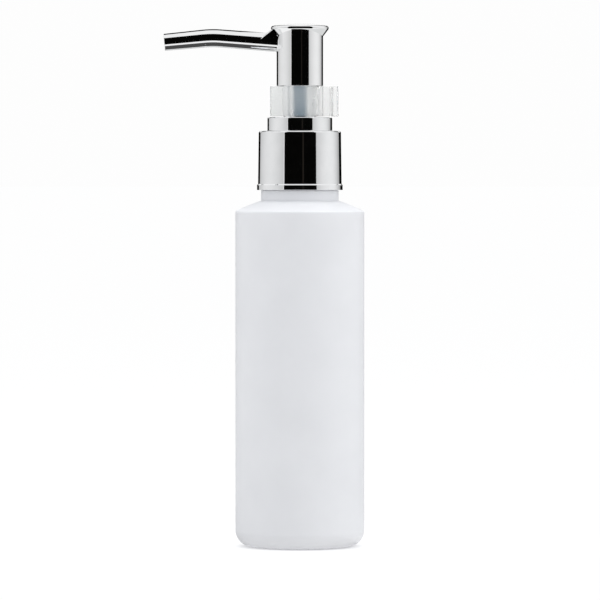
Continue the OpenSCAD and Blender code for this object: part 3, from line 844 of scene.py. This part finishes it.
for node_name, look in {
    "gasket": gasket_foam,
    "closure_insert": pump_plastic,
    "pump_housing": pump_plastic,
    "chaplet": pump_plastic,
    "stem": pump_plastic,
    "piston": seal_plastic,
    "piston_plug": pump_plastic,
    "ball_retainer": pump_plastic,
    "inlet_ball": wire_steel,
    "dip_tube": tube_plastic,
    "head_core": hub_satin,
}.items():
    dress(node_name, look)


# Stage: floor, cards that only the metal or the clip's light sees, lamps and world

FLOOR_HALF_SIZE = 80
# Distances from the product's axis and the glow's share there, for rays that end in the picture. The
# glow is painted light that grows away from the product, so the floor's real shadow shows most near it.
FLOOR_NEAR_R = 0.026
FLOOR_FAR_R = 0.12
FLOOR_NEAR_GLOW = 0.6
FLOOR_FAR_GLOW = 0.95
# Share of the floor's own glow in the light that the floor casts on the bottle: painted light from a
# floor that glows though it is no lamp
FLOOR_GLOW_ON_BOTTLE = 0.9
# Painted contact shadow: the glow fades in a ring under the bottle's rounded foot, so the floor there
# shows its diffuse part, which lies in the bottle's real shadow
CONTACT_SHADE_IN_R = 0.017
CONTACT_SHADE_OUT_R = 0.0225
CONTACT_SHADE_GLOW = 0.35

SEEN_RAYS = ["Is Camera Ray", "Is Glossy Ray", "Is Transmission Ray"]


def ray_mix(tree, outputs):
    """1 for a ray of one of these kinds, else 0."""
    path = tree.nodes.new("ShaderNodeLightPath")
    total = path.outputs[outputs[0]]
    for name in outputs[1:]:
        add = tree.nodes.new("ShaderNodeMath")
        add.operation = "MAXIMUM"
        tree.links.new(total, add.inputs[0])
        tree.links.new(path.outputs[name], add.inputs[1])
        total = add.outputs[0]
    return total


def floor_glow_share(tree):
    """Share of the floor's own glow, by the distance from the product's axis and the kind of ray."""
    coords = tree.nodes.new("ShaderNodeTexCoord")
    distance = tree.nodes.new("ShaderNodeVectorMath")
    distance.operation = "LENGTH"
    tree.links.new(coords.outputs["Object"], distance.inputs[0])
    away = distance.outputs["Value"]
    seen = map_range(tree, away, (FLOOR_NEAR_R, FLOOR_FAR_R), (FLOOR_NEAR_GLOW, FLOOR_FAR_GLOW))
    # Painted contact shadow ring under the foot: less glow, so more of the shaded diffuse part shows
    contact_shade = map_range(tree, away, (CONTACT_SHADE_IN_R, CONTACT_SHADE_OUT_R), (CONTACT_SHADE_GLOW, 1))
    share = tree.nodes.new("ShaderNodeMix")
    share.inputs["A"].default_value = FLOOR_GLOW_ON_BOTTLE
    tree.links.new(seen, share.inputs["B"])
    tree.links.new(ray_mix(tree, SEEN_RAYS), share.inputs["Factor"])
    product = tree.nodes.new("ShaderNodeMath")
    product.operation = "MULTIPLY"
    tree.links.new(share.outputs["Result"], product.inputs[0])
    tree.links.new(contact_shade, product.inputs[1])
    return product.outputs[0]


def make_floor():
    mesh = bmesh.new()
    bmesh.ops.create_grid(mesh, x_segments=1, y_segments=1, size=FLOOR_HALF_SIZE)
    data = bpy.data.meshes.new("floor")
    mesh.to_mesh(data)
    mesh.free()
    floor = bpy.data.objects.new("floor", data)
    bpy.context.scene.collection.objects.link(floor)
    material = bpy.data.materials.new("floor_white")
    material.use_nodes = True
    tree = material.node_tree
    tree.nodes.clear()
    output = tree.nodes.new("ShaderNodeOutputMaterial")
    diffuse = tree.nodes.new("ShaderNodeBsdfDiffuse")
    diffuse.inputs["Color"].default_value = (0.94, 0.94, 0.95, 1)
    glow = tree.nodes.new("ShaderNodeEmission")
    glow.inputs["Color"].default_value = (1, 1, 1, 1)
    glow.inputs["Strength"].default_value = 1.0
    mix = tree.nodes.new("ShaderNodeMixShader")
    tree.links.new(floor_glow_share(tree), mix.inputs["Fac"])
    tree.links.new(diffuse.outputs[0], mix.inputs[1])
    tree.links.new(glow.outputs[0], mix.inputs[2])
    tree.links.new(mix.outputs[0], output.inputs["Surface"])
    data.materials.append(material)


def card_material(name, colour):
    material = bpy.data.materials.new(name)
    material.use_nodes = True
    tree = material.node_tree
    tree.nodes.clear()
    output = tree.nodes.new("ShaderNodeOutputMaterial")
    glow = tree.nodes.new("ShaderNodeEmission")
    glow.inputs["Color"].default_value = (*colour, 1)
    tree.links.new(glow.outputs[0], output.inputs["Surface"])
    return material


def add_card(name, rows, material, through_clip=False):
    """Card that only reflections see, or only what shines through the clip. Points are in metres."""
    mesh = bmesh.new()
    grid = [[mesh.verts.new(p) for p in row] for row in rows]
    for low, high in zip(grid, grid[1:]):
        for i in range(len(low) - 1):
            mesh.faces.new((low[i], low[i + 1], high[i + 1], high[i]))
    data = bpy.data.meshes.new(name)
    mesh.to_mesh(data)
    mesh.free()
    card = bpy.data.objects.new(name, data)
    bpy.context.scene.collection.objects.link(card)
    data.materials.append(material)
    card.visible_camera = False
    card.visible_diffuse = False
    card.visible_shadow = False
    card.visible_volume_scatter = False
    card.visible_glossy = not through_clip
    card.visible_transmission = through_clip
    return card


def curved_rows(radius, start, end, low_z, high_z, steps=24):
    """Two rows round the object. Angles are degrees from the camera's side, positive to the right."""
    rows = []
    for z in (low_z, high_z):
        row = []
        for i in range(steps + 1):
            angle = math.radians(start + (end - start) * i / steps)
            row.append((radius * math.sin(angle), -radius * math.cos(angle), z))
        rows.append(row)
    return rows


black_card = card_material("card_black", (0.0015, 0.0015, 0.0013))
warm_card = card_material("card_warm", (0.017, 0.014, 0.012))
dark_card = card_material("card_dark", (0.07, 0.07, 0.07))
grey_card = card_material("card_grey", (0.78, 0.79, 0.79))
blue_card = card_material("card_blue", (0.045, 0.13, 0.2))

# Metres, and degrees from the camera's side
FRONT_CARD = {"start": -42.5, "end": 45, "low_z": 0.0, "high_z": 0.53}
WARM_CARD = {"start": 7, "end": 10.5, "low_z": 0.0, "high_z": 0.53}
BACK_CARD = {"start": 139, "end": 217, "low_z": 0.001, "high_z": 0.16}
BACK_CARD_HIGH = {"start": 137, "end": 223, "low_z": 0.16, "high_z": 0.215}
FRONT_CARD_R = 0.26
WARM_CARD_R = 0.255
CLIP_CARD_R = 0.25
BACK_CARD_R = 0.45
DARK_CARD_Z = 0.001
GREY_CARD_Z = 0.0005
HIGH_CARD_Y = 0.1


def flat_rows(x_range, y_range, z):
    """Two rows of a level card."""
    return [[(x, y, z) for x in x_range] for y in y_range]


def upright_rows(x_range, y, z_range):
    """Two rows of a card that stands across the view."""
    return [[(x, y, z) for x in x_range] for z in z_range]


add_card("card_front", curved_rows(FRONT_CARD_R, **FRONT_CARD), black_card)
add_card("card_warm", curved_rows(WARM_CARD_R, **WARM_CARD), warm_card)
add_card("card_clip", curved_rows(CLIP_CARD_R, **FRONT_CARD), blue_card, through_clip=True)
add_card("card_back", curved_rows(BACK_CARD_R, **BACK_CARD), black_card)
add_card("card_back_high", curved_rows(BACK_CARD_R, **BACK_CARD_HIGH), black_card)
add_card("card_floor", flat_rows((-0.075, 0.02), (-0.115, 0.12), DARK_CARD_Z), dark_card)
add_card("card_grey_right", flat_rows((0.024, 0.6), (-0.1, 0.6), GREY_CARD_Z), grey_card)
add_card("card_grey_left", flat_rows((-0.6, -0.024), (0.024, 0.6), GREY_CARD_Z), grey_card)
for side in (-1, 1):
    high_rows = upright_rows((side * 0.0108, side * 0.08), HIGH_CARD_Y, (0.18, 0.35))
    add_card("card_high", high_rows, black_card)

PANEL_R = 0.8
PANEL_START = 45
PANEL_END = 144
PANEL_STEPS = 33
PANEL_LOW_Z = -0.2
PANEL_HIGH_Z = 0.6
PANEL_PEAK = 92
PANEL_FADE = 50
PANEL_FADE_POWER = 1.2
PANEL_FRONT_LEVEL = 0.62


def glow_at(azimuth, peak, back_level):
    """Brightness of the side panels: brightest straight to the side, weaker toward both ends."""
    share = min(abs(azimuth - PANEL_PEAK) / PANEL_FADE, 1)
    level = back_level if azimuth > PANEL_PEAK else PANEL_FRONT_LEVEL
    return level + (peak - level) * (1 - share * share) ** PANEL_FADE_POWER


def panel_material():
    material = bpy.data.materials.new("panel_glow")
    material.use_nodes = True
    tree = material.node_tree
    tree.nodes.clear()
    output = tree.nodes.new("ShaderNodeOutputMaterial")
    level = tree.nodes.new("ShaderNodeAttribute")
    level.attribute_name = "glow"
    glow = tree.nodes.new("ShaderNodeEmission")
    tree.links.new(level.outputs["Fac"], glow.inputs["Strength"])
    tree.links.new(glow.outputs[0], output.inputs["Surface"])
    return material


def add_panel(name, side, peak, back_level, material):
    """Softbox beside the object that only the metal sees. Its glow fades toward its two ends."""
    rows = curved_rows(PANEL_R, side * PANEL_START, side * PANEL_END, PANEL_LOW_Z, PANEL_HIGH_Z,
                       PANEL_STEPS)
    panel = add_card(name, rows, material)
    level = panel.data.attributes.new("glow", "FLOAT", "POINT")
    for i in range(PANEL_STEPS + 1):
        azimuth = PANEL_START + (PANEL_END - PANEL_START) * i / PANEL_STEPS
        value = glow_at(azimuth, peak, back_level)
        level.data[i].value = value
        level.data[i + PANEL_STEPS + 1].value = value


panel_glow = panel_material()
add_panel("panel_left", -1, 0.87, 0.6, panel_glow)
add_panel("panel_right", 1, 0.94, 0.35, panel_glow)


LAMP_TARGET = (0, 0, 0.09)


def add_lamp(name, place, size, power):
    """Soft rectangular lamp that lights the product and shows in nothing."""
    data = bpy.data.lights.new(name, "AREA")
    data.shape = "RECTANGLE"
    data.size = size[0]
    data.size_y = size[1]
    data.energy = power
    lamp = bpy.data.objects.new(name, data)
    lamp.location = place
    lamp.rotation_euler = (Vector(place) - Vector(LAMP_TARGET)).to_track_quat("Z", "Y").to_euler()
    lamp.visible_camera = False
    lamp.visible_glossy = False
    lamp.visible_transmission = False
    bpy.context.scene.collection.objects.link(lamp)


add_lamp("lamp_top", (0, 0, 1.3), (1.4, 1.4), 12)
add_lamp("lamp_right", (1.2, -0.4, 0.4), (0.8, 1.2), 2.2)


def make_world():
    world = bpy.data.worlds.new("studio")
    bpy.context.scene.world = world
    world.use_nodes = True
    tree = world.node_tree
    tree.nodes.clear()
    output = tree.nodes.new("ShaderNodeOutputWorld")
    seen = tree.nodes.new("ShaderNodeBackground")
    seen.inputs["Color"].default_value = (1, 1, 1, 1)
    seen.inputs["Strength"].default_value = 0.985
    lit = tree.nodes.new("ShaderNodeBackground")
    lit.inputs["Color"].default_value = (0.96, 0.98, 1, 1)
    lit.inputs["Strength"].default_value = 0.9
    mix = tree.nodes.new("ShaderNodeMixShader")
    tree.links.new(ray_mix(tree, SEEN_RAYS), mix.inputs["Fac"])
    tree.links.new(lit.outputs[0], mix.inputs[1])
    tree.links.new(seen.outputs[0], mix.inputs[2])
    tree.links.new(mix.outputs[0], output.inputs["Surface"])


make_floor()
make_world()


# Camera

CAMERA_DISTANCE = 1.6
CAMERA_Z = 0.1263
LOOK_X = 0.00005
LOOK_Z = 0.0838
SENSOR = 36.0
MM_PER_PIXEL = 0.34
IMAGE_SIZE = 600


def make_camera():
    data = bpy.data.cameras.new("camera")
    data.sensor_fit = "HORIZONTAL"
    data.sensor_width = SENSOR
    distance = math.hypot(CAMERA_DISTANCE, CAMERA_Z - LOOK_Z)
    data.lens = SENSOR * distance / (IMAGE_SIZE * MM_PER_PIXEL * MM)
    data.clip_start = 0.05
    data.clip_end = 50
    camera = bpy.data.objects.new("camera", data)
    camera.location = (0.0, -CAMERA_DISTANCE, CAMERA_Z)
    look = Vector((LOOK_X, 0, LOOK_Z)) - camera.location
    camera.rotation_euler = look.to_track_quat("-Z", "Y").to_euler()
    bpy.context.scene.collection.objects.link(camera)
    bpy.context.scene.camera = camera


make_camera()
bpy.context.scene.view_settings.view_transform = "Standard"
